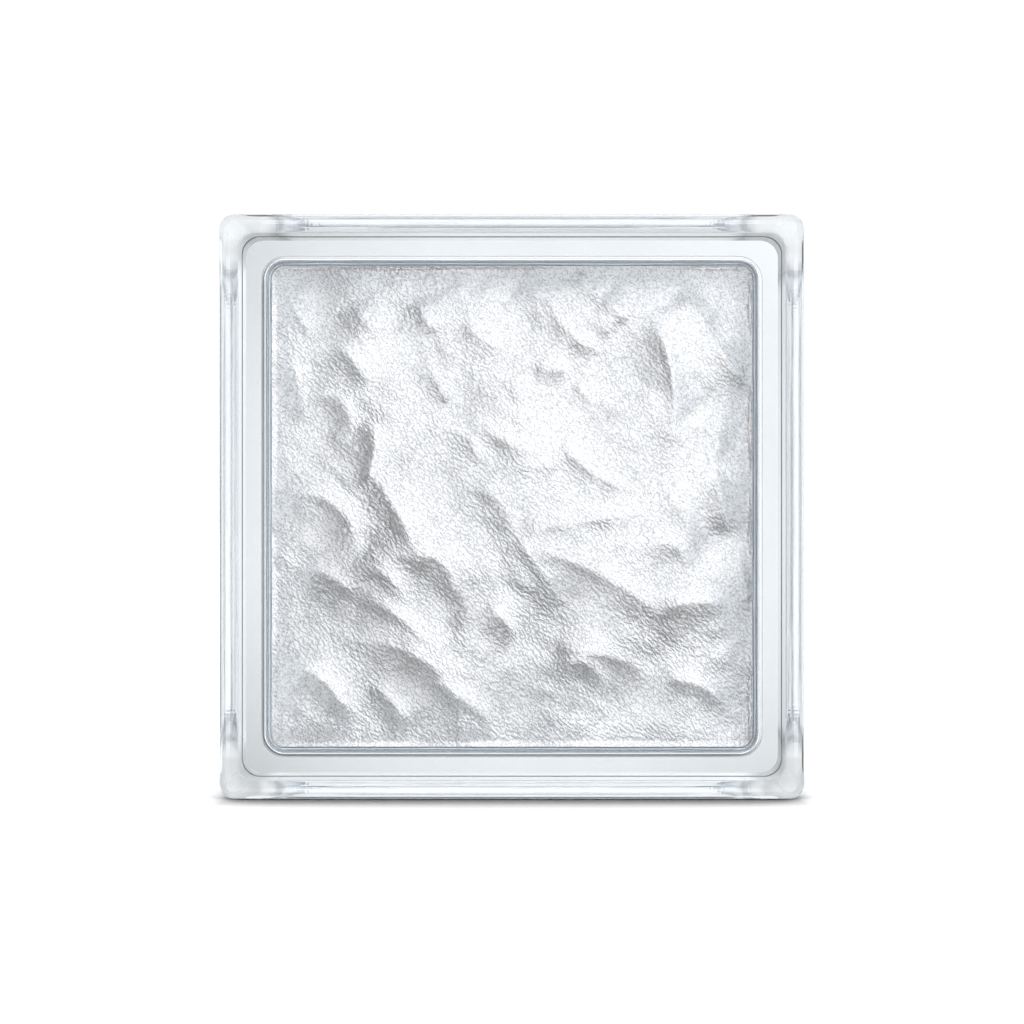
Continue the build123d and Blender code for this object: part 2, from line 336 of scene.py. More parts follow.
@dataclass(frozen=True)
class Relief:
    """Wavy relief pressed into the inner faces, as a height over the flat floor."""

    sizes: BlockSizes
    base: float = 0.34
    border: float = 1.8 * MM
    crease_end: float = 0.85
    tip: float = 0.006
    crease_share: float = 1.0
    widen: float = 1.0
    wrinkles: int = 150
    wrinkle_height: float = 0.2
    wrinkle_spread: float = 0.96
    wrinkle_turn: Pair = (-0.8, 0.55)
    wrinkle_reach: Pair = (0.03, 0.10)
    wrinkle_bow: float = 0.02
    wrinkle_near: Pair = (0.016, 0.03)
    wrinkle_far: Pair = (0.03, 0.05)
    wrinkle_share: Pair = (0.4, 1.3)
    ripples: int = 26
    ripple_height: float = 0.010
    ripple_waves: Pair = (9.0, 22.0)
    seed: int = 11

    def crease(self, x: Array, z: Array, shape: Sequence[float]) -> Array:
        """One crease between two swells: exp(-distance / width) from a bowed line, faded at its ends.

        Args:
            x: shares across.
            z: shares up.
            shape: both ends of the line, its bow to the side, the width on its right and on its left,
                and the depth.

        Returns:
            How far the glass is lowered, as a share of the relief's depth.
        """
        start_x, start_z, end_x, end_z, bow, near, far, depth = shape
        run, rise = end_x - start_x, end_z - start_z
        length = math.hypot(run, rise)
        along = 2.0 * ((x - start_x) * run + (z - start_z) * rise) / length**2 - 1.0
        aside = (run * (z - start_z) - rise * (x - start_x)) / length - bow * (1.0 - along**2)
        lean = np.tanh(aside / (self.tip * self.widen))
        width = ((near + far) / 2.0 + (far - near) / 2.0 * lean) * self.widen
        ends = np.exp(-((along / self.crease_end) ** 4))
        return depth * ends * np.exp(-np.hypot(aside, self.tip * self.widen) / width)

    def wrinkle(self, x: Array, z: Array, random: np.random.Generator) -> Array:
        """One small crease at a random place, most often along one diagonal.

        Args:
            x: shares across.
            z: shares up.
            random: source of the random sizes.

        Returns:
            How far the glass is lowered, as a share of the relief's depth.
        """
        mid = random.uniform(-self.wrinkle_spread, self.wrinkle_spread, 2)
        turn = random.normal(*self.wrinkle_turn)
        step = random.uniform(*self.wrinkle_reach) * np.array((math.cos(turn), math.sin(turn)))
        bow = random.uniform(-self.wrinkle_bow, self.wrinkle_bow)
        near = random.uniform(*self.wrinkle_near)
        far = random.uniform(*self.wrinkle_far)
        depth = self.wrinkle_height * random.uniform(*self.wrinkle_share)
        return self.crease(x, z, (*(mid - step), *(mid + step), bow, near, far, depth))

    def ripple(self, x: Array, z: Array, random: np.random.Generator) -> Array:
        """One ripple: ripple_height * sin(waves * distance + phase).

        Args:
            x: shares across.
            z: shares up.
            random: source of the random sizes.

        Returns:
            How far the glass is raised, as a share of the relief's depth.
        """
        turn = random.uniform(0.0, math.pi)
        waves = math.pi * random.uniform(*self.ripple_waves)
        phase = random.uniform(0.0, 2.0 * math.pi)
        return self.ripple_height * np.sin(waves * (x * math.cos(turn) + z * math.sin(turn)) + phase)

    def fade(self, place: Array) -> Array:
        """Ease the relief down from 1 to 0 at the foot of the wall: 3 t^2 - 2 t^3."""
        inward = np.clip((self.sizes.relief_reach - np.abs(place)) / self.border, 0.0, 1.0)
        return inward**2 * (3.0 - 2.0 * inward)

    def height(self, across: Array, up: Array) -> Array:
        """Height over the floor: base, swells, creases, wrinkles and ripples, eased down at the border.

        Args:
            across: places across, from the middle.
            up: places up, from the middle.

        Returns:
            Heights in metres.
        """
        x, z = across / self.sizes.relief_half, up / self.sizes.relief_half
        total = np.full(x.shape, self.base)
        for mid_x, mid_z, spread, height in (np.array(SWELLS) / 100.0).tolist():
            total += height * np.exp(-((x - mid_x) ** 2 + (z - mid_z) ** 2) / spread**2)
        for *line_shape, depth in (np.array(CREASES) / 100.0).tolist():
            total -= self.crease(x, z, (*line_shape, depth * self.crease_share))
        random = np.random.default_rng(self.seed)
        for _ in range(self.wrinkles):
            total -= self.wrinkle(x, z, random)
        for _ in range(self.ripples):
            total += self.ripple(x, z, random)
        return self.sizes.relief_depth * total * self.fade(across) * self.fade(up)


# Finishes


class Effect(Enum):
    """Shader node groups shared by the finishes."""

    GRAIN = "pressed_grain"
    RIBS = "key_ribs"


def input_socket(group: Tree, name: str, value: float) -> None:
    """Add a number input to a node group, with its value where nothing is linked."""
    socket = group.interface.new_socket(name=name, in_out="INPUT", socket_type="NodeSocketFloat")
    socket.default_value = value


def add_node(tree: Tree, kind: str, inputs: dict[str | int, object], **settings: object) -> Shader:
    """Add a node.

    Args:
        tree: node tree to add it to.
        kind: Blender's name of the kind of node.
        inputs: a socket or a value for each input, by the input's name or place.
        settings: the node's own settings.

    Returns:
        The node.
    """
    node = tree.nodes.new(kind)
    for name, value in settings.items():
        setattr(node, name, value)
    for key, value in inputs.items():
        if isinstance(value, Socket):
            tree.links.new(value, node.inputs[key])
        else:
            node.inputs[key].default_value = value
    return node


def math_node(tree: Tree, operation: str, *values: object) -> Socket:
    """Add a Math node for sockets or numbers, and give its result."""
    return add_node(tree, "ShaderNodeMath", dict(enumerate(values)), operation=operation).outputs[0]


def object_place(tree: Tree) -> Socket:
    """Add a Texture Coordinate node, and give its Object output."""
    return add_node(tree, "ShaderNodeTexCoord", {}).outputs["Object"]


def split_node(tree: Tree, place: Socket) -> Shader:
    """Add a Separate XYZ node."""
    return add_node(tree, "ShaderNodeSeparateXYZ", {0: place})


def attribute_node(tree: Tree, name: str) -> Socket:
    """Add an Attribute node, and give the attribute's number."""
    return add_node(tree, "ShaderNodeAttribute", {}, attribute_name=name).outputs["Fac"]


def group_node(tree: Tree, group: Tree, values: dict[str, object]) -> Shader:
    """Add a node group, with a socket or a number for each of its inputs."""
    return add_node(tree, "ShaderNodeGroup", values, node_tree=group)


def noise_node(tree: Tree, place: Socket, scale: object, detail: float, twist: float = 0.0) -> Socket:
    """Add a Noise Texture node, and give its factor."""
    inputs = {"Vector": place, "Scale": scale, "Detail": detail, "Distortion": twist}
    return add_node(tree, "ShaderNodeTexNoise", inputs).outputs["Fac"]


def smooth_range(
    tree: Tree, value: Socket, start: float, end: float, first: float, last: float
) -> Socket:
    """Add a Map Range node, eased from first to last while the value goes from start to end."""
    inputs = {"Value": value, "From Min": start, "From Max": end, "To Min": first, "To Max": last}
    return add_node(tree, "ShaderNodeMapRange", inputs, interpolation_type="SMOOTHSTEP").outputs["Result"]


def bump_node(
    tree: Tree, shader: Shader, height: Socket, distance: float, strength: float = 1.0
) -> None:
    """Add a Bump node in front of a shader, with the distance that one unit of height stands for."""
    bump = add_node(tree, "ShaderNodeBump", {"Strength": strength, "Distance": distance, "Height": height})
    tree.links.new(bump.outputs["Normal"], shader.inputs["Normal"])


def paint(tree: Tree, shader: Shader, share: Socket, first: Colour, last: Colour) -> None:
    """Give a shader a colour that goes from the first colour to the last as the share goes from 0 to 1.

    Args:
        tree: the material's node tree.
        shader: the shader node.
        share: share of the last colour.
        first: colour where the share is 0.
        last: colour where the share is 1.
    """
    inputs = {"Factor": share, "A": (*first, 1.0), "B": (*last, 1.0)}
    mix = add_node(tree, "ShaderNodeMix", inputs, data_type="RGBA")
    tree.links.new(mix.outputs["Result"], shader.inputs["Base Color"])


def new_material(name: str) -> tuple[Material, Tree, Shader]:
    """Make a material.

    Args:
        name: its name.

    Returns:
        The material, its node tree and its shader node.
    """
    material = bpy.data.materials.new(name)
    material.use_nodes = True
    return material, material.node_tree, material.node_tree.nodes["Principled BSDF"]


@dataclass(frozen=True)
class Patterns:
    """Node groups of the pressed patterns."""

    grain_scale: float = 1000.0
    grain_line: float = 0.05
    grain_detail: float = 1.0
    grain_middle: float = 0.5
    rib_pitch: float = 1.3 * MM
    rib_beat: float = 0.53 * math.pi
    rib_swing: float = 0.35
    rib_mean: float = 0.65

    def grain(self) -> Tree:
        """Make the fine worm-like grain: noise, and the lines on which it crosses its middle.

        Returns:
            The node group, with Vector, Scale and Line inputs and Height and Lines outputs.
        """
        group = bpy.data.node_groups.new(Effect.GRAIN.value, "ShaderNodeTree")
        group.interface.new_socket(name="Vector", in_out="INPUT", socket_type="NodeSocketVector")
        input_socket(group, "Scale", self.grain_scale)
        input_socket(group, "Line", self.grain_line)
        for name in ("Height", "Lines"):
            group.interface.new_socket(name=name, in_out="OUTPUT", socket_type="NodeSocketFloat")
        enter = group.nodes.new("NodeGroupInput")
        leave = group.nodes.new("NodeGroupOutput")
        worms = noise_node(group, enter.outputs["Vector"], enter.outputs["Scale"], self.grain_detail)
        off = math_node(group, "ABSOLUTE", math_node(group, "SUBTRACT", worms, self.grain_middle))
        spread = math_node(group, "DIVIDE", off, enter.outputs["Line"])
        lines = math_node(group, "SUBTRACT", 1.0, math_node(group, "MINIMUM", spread, 1.0))
        group.links.new(worms, leave.inputs["Height"])
        group.links.new(lines, leave.inputs["Lines"])
        return group

    def ribs(self) -> Tree:
        """Make the key ribs of the mortar channel: a sine along the side, beaten by a slower one.

        Returns:
            The node group, with Along and Pitch inputs and a Height output.
        """
        group = bpy.data.node_groups.new(Effect.RIBS.value, "ShaderNodeTree")
        input_socket(group, "Along", 0.0)
        input_socket(group, "Pitch", self.rib_pitch)
        group.interface.new_socket(name="Height", in_out="OUTPUT", socket_type="NodeSocketFloat")
        enter = group.nodes.new("NodeGroupInput")
        leave = group.nodes.new("NodeGroupOutput")
        turns = math_node(group, "DIVIDE", enter.outputs["Along"], enter.outputs["Pitch"])
        fast = math_node(group, "SINE", math_node(group, "MULTIPLY", turns, 2.0 * math.pi))
        slow = math_node(group, "SINE", math_node(group, "MULTIPLY", turns, self.rib_beat))
        uneven = math_node(group, "MULTIPLY_ADD", slow, self.rib_swing, self.rib_mean)
        group.links.new(math_node(group, "MULTIPLY", fast, uneven), leave.inputs["Height"])
        return group


class Skin(IntEnum):
    """Material indices of a glass shell."""

    SMOOTH = 0
    RELIEF = 1
    KEYED = 2
    WALL = 3
    SEAM = 4
    ROOT = 5


@dataclass(frozen=True)
class GlassFinish:
    """Clear pressed soda-lime glass: smooth outside, grained on the relief, ribbed in the channel."""

    tint: Colour = (0.93, 0.955, 0.965)
    relief_tint: Colour = (1.0, 0.99, 1.0)
    # Darker colour of the painted shade lines at the foot of the wall
    root_dark_shade: Colour = (0.12, 0.14, 0.17)
    line_tint: Colour = (0.06, 0.07, 0.08)
    # Wall and seam tints: partly the glass's own colour over a long path, partly painted shade that
    # darkens the bands seen through them
    wall_tint_and_shade: Colour = (0.56, 0.60, 0.63)
    wall_pale_tint_and_shade: Colour = (0.66, 0.69, 0.71)
    seam_tint_and_shade: Colour = (0.62, 0.64, 0.65)
    seam_pale_tint_and_shade: Colour = (0.68, 0.70, 0.71)
    cloud_scale: float = 40.0
    cloud_detail: float = 2.0
    # Lighter colour of the painted shade lines at the foot of the wall
    root_pale_shade: Colour = (0.42, 0.47, 0.52)
    root_ior: float = 1.12
    root_shade_lines: float = 2.5
    root_scale: float = 70.0
    line_depth: float = 22.4 * MM
    line_width: float = 0.5 * MM
    line_height: float = 8.0
    dash_depth: float = 25.1 * MM
    dash_width: float = 0.5 * MM
    dash_gain: float = 9.0
    # Painted highlight: a thin stripe round the rim, at this depth and width, glows with this much light
    highlight_depth: float = 23.8 * MM
    highlight_width: float = 0.6 * MM
    highlight_glow: float = 0.24
    plain_gain: float = 0.5
    corner_roughness: float = 0.6
    # Painted light: the frosted corners glow with this much light
    corner_light: float = 0.2
    ior: float = 1.51
    roughness: float = 0.01
    relief_roughness: float = 0.28
    grain_scale: float = 1200.0
    grain_turn: float = -45.0
    grain_length: float = 1.7
    grain_distance: float = 0.33 * MM
    grain_shade: float = 0.8
    grain_line: float = 0.07
    rib_distance: float = 0.012 * MM
    fleck_scale: float = 60.0
    fleck_distance: float = 0.01 * MM
    last_reflection: int = 4
    last_bounce: int = 12
    trapped_light: float = 0.5
    trapped_colour: Colour = (0.98, 0.98, 1.0)

    def clear(self, name: str, roughness: float) -> tuple[Material, Tree, Shader]:
        """Make clear glass.

        Args:
            name: name of the material.
            roughness: roughness of its surface.

        Returns:
            The material, its node tree and its shader node.
        """
        material, tree, shader = new_material(name)
        shader.inputs["Base Color"].default_value = (*self.tint, 1.0)
        shader.inputs["Transmission Weight"].default_value = 1.0
        shader.inputs["IOR"].default_value = self.ior
        shader.inputs["Roughness"].default_value = roughness
        self.glow(tree, shader, 0.0)
        return material, tree, shader

    def glow(self, tree: Tree, shader: Shader, least: float | Socket) -> None:
        """Stand in for the light of paths that are cut off after many reflections inside the glass.

        Args:
            tree: the material's node tree.
            shader: the shader node.
            least: light that the surface gives off in any case.
        """
        path = add_node(tree, "ShaderNodeLightPath", {})
        turned = math_node(tree, "GREATER_THAN", path.outputs["Glossy Depth"], self.last_reflection - 0.5)
        ended = math_node(tree, "GREATER_THAN", path.outputs["Ray Depth"], self.last_bounce - 0.5)
        trapped = math_node(tree, "MAXIMUM", turned, ended)
        light = math_node(tree, "MULTIPLY_ADD", trapped, self.trapped_light, least)
        tree.links.new(light, shader.inputs["Emission Strength"])
        shader.inputs["Emission Color"].default_value = (*self.trapped_colour, 1.0)

    def smooth(self) -> Material:
        """Make the fire-polished outside, very slightly wavy.

        Returns:
            The material.
        """
        material, tree, shader = self.clear("glass_smooth", self.roughness)
        waves = noise_node(tree, object_place(tree), self.fleck_scale, 0.0)
        bump_node(tree, shader, waves, self.fleck_distance)
        return material

    def pressed(self, grain: Tree) -> Material:
        """Make the grained inner faces.

        Args:
            grain: the grain group.

        Returns:
            The material.
        """
        material, tree, shader = self.clear("glass_relief", self.relief_roughness)
        mask = attribute_node(tree, "relief")
        places = {
            "Vector": object_place(tree),
            "Rotation": (0.0, math.radians(self.grain_turn), 0.0),
            "Scale": (1.0, 1.0, self.grain_length),
        }
        drawn = add_node(tree, "ShaderNodeMapping", places, vector_type="TEXTURE")
        values = {"Vector": drawn.outputs["Vector"], "Scale": self.grain_scale, "Line": self.grain_line}
        grained = group_node(tree, grain, values)
        height = math_node(tree, "MULTIPLY", grained.outputs["Height"], mask)
        bump_node(tree, shader, height, self.grain_distance)
        worn = math_node(tree, "MULTIPLY", grained.outputs["Lines"], mask)
        share = math_node(tree, "MULTIPLY", worn, self.grain_shade)
        paint(tree, shader, share, self.relief_tint, self.line_tint)
        return material

    def keyed(self, ribs: Tree) -> Material:
        """Make the ribbed mortar channel, frosted at the corners, with painted light: a highlight stripe
        round the rim and a glow in the frosted corners.

        Args:
            ribs: the key rib group.

        Returns:
            The material.
        """
        material, tree, shader = self.clear("glass_channel", self.roughness)
        ribbed = group_node(tree, ribs, {"Along": attribute_node(tree, "along")})
        depth = math_node(tree, "ABSOLUTE", split_node(tree, object_place(tree)).outputs["Y"])
        bead = self.stripe(tree, depth, self.line_depth, self.line_width)
        dash = self.stripe(tree, depth, self.dash_depth, self.dash_width)
        gain = math_node(tree, "MULTIPLY_ADD", dash, self.dash_gain, self.plain_gain)
        ribs_height = math_node(tree, "MULTIPLY", ribbed.outputs[0], gain)
        both = math_node(tree, "MULTIPLY_ADD", bead, self.line_height, ribs_height)
        height = math_node(tree, "MULTIPLY", both, attribute_node(tree, "rib"))
        bump_node(tree, shader, height, self.rib_distance)
        # The frost mask roughens the corners and also gives them painted light, a glow
        frost_and_glow = attribute_node(tree, "frost_and_glow")
        rough = math_node(tree, "MULTIPLY_ADD", frost_and_glow, self.corner_roughness, self.roughness)
        tree.links.new(rough, shader.inputs["Roughness"])
        # Painted highlight: a thin stripe round the rim glows
        bright = self.stripe(tree, depth, self.highlight_depth, self.highlight_width)
        lit = math_node(tree, "MULTIPLY", bright, self.highlight_glow)
        corner = math_node(tree, "MULTIPLY", frost_and_glow, self.corner_light)
        self.glow(tree, shader, math_node(tree, "MAXIMUM", corner, lit))
        return material

    def stripe(self, tree: Tree, depth: Socket, middle: float, width: float) -> Socket:
        """Mask of a stripe round the rim, eased from 1 at its middle to 0 at its width to either side."""
        off = math_node(tree, "ABSOLUTE", math_node(tree, "SUBTRACT", depth, middle))
        return smooth_range(tree, off, 0.0, width, 1.0, 0.0)

    def tinted_and_shaded(self, name: str, tint: Colour, light: Colour) -> Material:
        """Make a face with a cloudy darker tint: partly the glass's colour over the long way that light
        goes through the glass behind it, partly painted shade that darkens the band seen through the face.

        Args:
            name: name of the material.
            tint: the darker colour.
            light: the lighter colour.

        Returns:
            The material.
        """
        material, tree, shader = self.clear(name, self.roughness)
        cloud = noise_node(tree, object_place(tree), self.cloud_scale, self.cloud_detail)
        paint(tree, shader, cloud, tint, light)
        return material

    def root(self) -> Material:
        """Make the rounded foot of the wall, with painted shade: dark lines that run round it, standing in
        for the dark edge seen there.

        Returns:
            The material.
        """
        material, tree, shader = self.clear("glass_root", self.roughness)
        shader.inputs["IOR"].default_value = self.root_ior
        uneven = noise_node(tree, object_place(tree), self.root_scale, self.cloud_detail)
        turns = math_node(tree, "MULTIPLY_ADD", attribute_node(tree, "root"), self.root_shade_lines, uneven)
        wave = math_node(tree, "SINE", math_node(tree, "MULTIPLY", turns, 2.0 * math.pi))
        lines = smooth_range(tree, wave, -1.0, 1.0, 0.0, 1.0)
        paint(tree, shader, lines, self.root_dark_shade, self.root_pale_shade)
        return material

    def build(self, grain: Tree, ribs: Tree) -> list[Material]:
        """Make the materials of a shell.

        Args:
            grain: the grain group.
            ribs: the key rib group.

        Returns:
            The materials, in the order of Skin.
        """
        return [
            self.smooth(),
            self.pressed(grain),
            self.keyed(ribs),
            self.tinted_and_shaded("glass_wall", self.wall_tint_and_shade, self.wall_pale_tint_and_shade),
            self.tinted_and_shaded("glass_seam", self.seam_tint_and_shade, self.seam_pale_tint_and_shade),
            self.root(),
        ]


@dataclass(frozen=True)
class CoatFinish:
    """White gritty key coat for the mortar, toned down for the bright surroundings."""

    colour: Colour = (0.63, 0.655, 0.655)
    shade: Colour = (0.57, 0.595, 0.595)
    roughness: float = 0.75
    cloud_scale: float = 90.0
    cloud_detail: float = 4.0
    cloud_twist: float = 0.4
    cloud_range: Pair = (0.3, 0.6)
    grit_scale: float = 700.0
    grit_distance: float = 0.25 * MM
    grit_strength: float = 0.8

    def build(self, grain: Tree) -> Material:
        """Make the material.

        Args:
            grain: the grain group.

        Returns:
            The material.
        """
        material, tree, shader = new_material("key_coat")
        shader.inputs["Roughness"].default_value = self.roughness
        place = object_place(tree)
        cloud = noise_node(tree, place, self.cloud_scale, self.cloud_detail, self.cloud_twist)
        share = smooth_range(tree, cloud, *self.cloud_range, 0.0, 1.0)
        paint(tree, shader, share, self.shade, self.colour)
        grained = group_node(tree, grain, {"Vector": place, "Scale": self.grit_scale})
        bump_node(tree, shader, grained.outputs["Height"], self.grit_distance, self.grit_strength)
        return material


# Pieces


@dataclass
class GlassShell:
    """One pressed half shell, as a closed skin: relief, hollow, seam, channel, lip and face."""

    name: str
    node: str
    turned: bool
    sizes: BlockSizes
    relief: Relief
    square: RoundedSquare
    parting_height: float = 0.03 * MM
    parting_share: float = 0.7
    parting_margin: float = 0.5 * MM
    support: float = 0.2 * MM
    hair: float = 0.01 * MM
    least_corner: float = 0.3 * MM
    wall_start: float = 0.14
    bead_foot: float = 0.4 * MM
    bead_lift: float = 0.02 * MM
    channel_part: Pair = (3.0 * MM, 1.0 * MM)
    shoulder_part: Pair = (0.3, 0.8)
    lip_part: Pair = (2.0 * MM, 0.5 * MM)
    face_part: Pair = (0.4 * MM, 4.0 * MM)
    key_reach: float = 1.5 * MM
    key_margin: float = 1.0 * MM
    relief_share: float = 1.01
    relief_fade: float = 1.2 * MM
    rib_end: float = 13.0 * MM
    rib_fade: float = 45.0 * MM
    rib_start: float = 2.0 * MM
    frost_end: float = 12.0 * MM
    frost_fade: float = 16.0 * MM
    frost_inner: float = 2.0 * MM
    frost_floor: float = 0.04
    root_share: float = 0.9

    def profile(self) -> tuple[Array, Array, Array]:
        """Section from the edge of the relief, round the hollow, the seam and the channel, to the face.

        Returns:
            Half widths, depths from the seam and corner radii, one for each ring.
        """
        s = self.sizes
        draft = math.atan2(s.pocket_taper, s.floor_depth)
        setback = s.pocket_root * math.tan((math.pi / 2 - draft) / 2)
        root = (s.floor_half - setback, s.floor_depth - s.pocket_root)
        slope = math.atan2(s.channel_depth, s.shoulder_run)
        cut_root = s.shoulder_root * math.tan(slope / 2)
        cut_back = s.lip_back * math.tan(slope / 2)
        degrees = math.degrees(slope)
        bead = s.channel_half + s.bead_height
        slack = self.support
        wall = (s.floor_half + s.pocket_taper * self.wall_start, s.floor_depth * (1.0 - self.wall_start))
        mouth = (s.mouth_half - s.pocket_taper * slack / s.floor_depth, s.seam_gap + slack)
        foot = s.bead_half_width + self.bead_foot
        near, far = self.channel_part
        trough = (s.bead_half_width + near, s.shoulder_start - cut_root - far)
        bend = (s.channel_half + s.shoulder_root, s.shoulder_start - cut_root)
        slope_ends = [
            (s.channel_half + share * s.channel_depth, s.shoulder_start + share * s.shoulder_run)
            for share in self.shoulder_part
        ]
        face = s.half_face - s.face_edge
        corner = (face, s.half_depth - s.face_edge)
        lip = (s.lip_start + self.lip_part[0], corner[1] - self.lip_part[1])
        stretches = (
            arc(root, s.pocket_root, 90.0, math.degrees(draft), 6),
            np.concatenate((line(wall, mouth, 6), np.array(((s.mouth_half, s.seam_gap),)))),
            line((s.mouth_half + slack, s.seam_gap), (bead - slack, s.seam_gap), 3),
            line((bead, s.seam_gap), (bead, s.seam_gap + slack), 2),
            arc((bead - s.bead_edge, s.bead_half_width - s.bead_edge), s.bead_edge, 0.0, 90.0, 5),
            line((s.channel_half + self.bead_lift, s.bead_half_width), (s.channel_half, foot), 2),
            line((s.channel_half, trough[0]), (s.channel_half, trough[1]), 3),
            arc(bend, s.shoulder_root, 180.0, 180.0 - degrees, 5),
            line(*slope_ends, 3),
            arc((s.half_face - s.lip_back, s.lip_start + cut_back), s.lip_back, -degrees, 0.0, 4),
            line((s.half_face, lip[0]), (s.half_face, lip[1]), 3),
            arc(corner, s.face_edge, 0.0, 90.0, 8),
            line((face - self.face_part[0], s.half_depth), (face - self.face_part[1], s.half_depth), 2),
        )
        section = np.concatenate(stretches)
        half, depth = section[:, 0], section[:, 1]
        inner = len(stretches[0]) + len(stretches[1])
        radius = np.empty(len(half))
        hollow = s.floor_corner + (s.mouth_corner - s.floor_corner) * (1.0 - depth / s.floor_depth)
        hollow_half = s.mouth_half - s.pocket_taper * depth / s.floor_depth
        radius[:inner] = (hollow + half - hollow_half)[:inner]
        outer = np.interp(depth, (s.shoulder_start, s.lip_start), (s.channel_corner, s.lip_corner))
        outer_half = np.interp(depth, (s.shoulder_start, s.lip_start), (s.channel_half, s.half_face))
        radius[inner:] = (outer + half - outer_half)[inner:]
        seam = slice(inner, inner + len(stretches[2]))
        share = (half[seam] - s.mouth_half) / (bead - s.mouth_half)
        radius[seam] = s.mouth_corner + share * (s.channel_corner + s.bead_height - s.mouth_corner)
        return half, depth, np.maximum(radius, self.least_corner)

    def skins(self, half: Array, depth: Array, keyed: Array) -> Array:
        """Skin of each row of faces of the rings.

        Args:
            half: half width of each ring.
            depth: depth of each ring.
            keyed: which rings lie on the channel.

        Returns:
            One skin for each row.
        """
        s = self.sizes
        half, depth = half[1:], depth[1:]
        hollow = (half < s.mouth_half + self.hair) & (depth > s.seam_gap)
        seam = (half > s.mouth_half + self.hair) & (depth < s.seam_gap + self.hair)
        skin = np.where(keyed[1:] & keyed[:-1], Skin.KEYED, Skin.SMOOTH)
        skin = np.where(hollow, Skin.WALL, skin)
        skin = np.where(seam, Skin.SEAM, skin)
        return np.where(hollow & (depth > s.floor_depth - s.pocket_root), Skin.ROOT, skin)

    def masks(
        self, half: Array, depth: Array, side: Array, keyed: Array, floor_count: int
    ) -> dict[str, Array]:
        """Masks that the finishes read, one number for each point.

        Args:
            half: half width of each ring.
            depth: depth of each ring.
            side: how far each point of the rings is from the middle of its side.
            keyed: which rings lie on the channel.
            floor_count: number of points of the relief floor, which come first.

        Returns:
            The masks by name.
        """
        s = self.sizes
        worn = np.clip((s.relief_half * self.relief_share - half) / self.relief_fade, 0.0, 1.0)
        straight = np.clip((s.half_face - self.rib_end - np.abs(side)) / self.rib_fade, 0.0, 1.0)
        started = np.clip((depth - s.shoulder_start) / self.rib_start, 0.0, 1.0)
        # Frost mask: it sets the corners' roughness and also their painted light, a glow
        clear = np.clip((s.half_face - self.frost_end - np.abs(side)) / self.frost_fade, 0.0, 1.0)
        inner = np.where(depth < s.shoulder_start - self.frost_inner, self.frost_floor, 0.0)
        # Root mask: it places the painted shade lines round the foot of the wall
        rise = np.clip((half - half[0]) / (self.root_share * s.pocket_root), 0.0, 1.0)
        rings = {
            "relief": (worn, 1.0),
            "rib": (straight * started[:, None] * keyed[:, None], 0.0),
            "frost_and_glow": (np.maximum((1.0 - clear) ** 2, inner[:, None]) * keyed[:, None], 0.0),
            "root": (rise, 0.0),
            "along": (side, 0.0),
        }
        masks = {}
        for label, (values, floor) in rings.items():
            full = np.broadcast_to(values if values.ndim > 1 else values[:, None], side.shape)
            masks[label] = np.concatenate((np.full(floor_count, floor), full[1:].ravel()))
        return masks

    def build(self, glass: Sequence[Material]) -> bpy.types.Object:
        """Make the shell.

        Args:
            glass: its materials, in the order of Skin.

        Returns:
            The piece.
        """
        s = self.sizes
        half, depth, radius = self.profile()
        surface = Surface()
        # Relief floor: a filled rounded square, raised by the relief
        across, up = self.square.press(half[0], radius[0], self.square.cells())
        height = self.relief.height(across, up)
        floor_points = np.stack((across, height - s.floor_depth, up + s.half_face), axis=-1)
        floor_index = surface.add_points(floor_points)
        surface.add_quads(floor_index, Skin.RELIEF, flip=True)
        # Rings: the section carried round the rounded square
        across, up, side = self.square.rings(half, radius)
        ring_depth = np.repeat(depth[:, None], across.shape[1], axis=1)
        raised = s.floor_depth - self.relief.height(across, up)
        inside = half[:, None] <= s.relief_half
        ring_depth = np.where(inside, np.minimum(ring_depth, raised), ring_depth)
        # Parting line: a hair's height along the corners of the lip
        corner = np.abs(np.abs(across) - np.abs(up)) < self.hair
        outside = (depth > s.shoulder_start) & (half > s.channel_half)
        outside &= depth < s.half_depth - self.parting_margin
        push = np.where(corner & outside[:, None], self.parting_height, 0.0) * self.parting_share
        across = np.clip(across + np.sign(across) * push, -s.half_face, s.half_face)
        up = np.clip(up + np.sign(up) * push, -s.half_face, s.half_face)
        ring_points = np.stack((across, -ring_depth, up + s.half_face), axis=-1)
        ring_index = surface.add_points(ring_points[1:])
        ring_index = np.concatenate((self.square.loop(floor_index)[None, :], ring_index))
        closed = np.concatenate((ring_index, ring_index[:, :1]), axis=1)
        keyed = (depth > s.bead_half_width) & (depth < s.lip_start + self.key_reach)
        keyed &= half > s.channel_half - self.key_margin
        surface.add_quads(closed, self.skins(half, depth, keyed))
        surface.add_cap(ring_index[-1], Skin.SMOOTH)
        if self.turned:
            surface.points = [points * np.array((-1.0, -1.0, 1.0)) for points in surface.points]
        piece = surface.build(self.name, glass, self.masks(half, depth, side, keyed, floor_index.size))
        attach(piece, "root")
        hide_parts(self.node)
        return piece


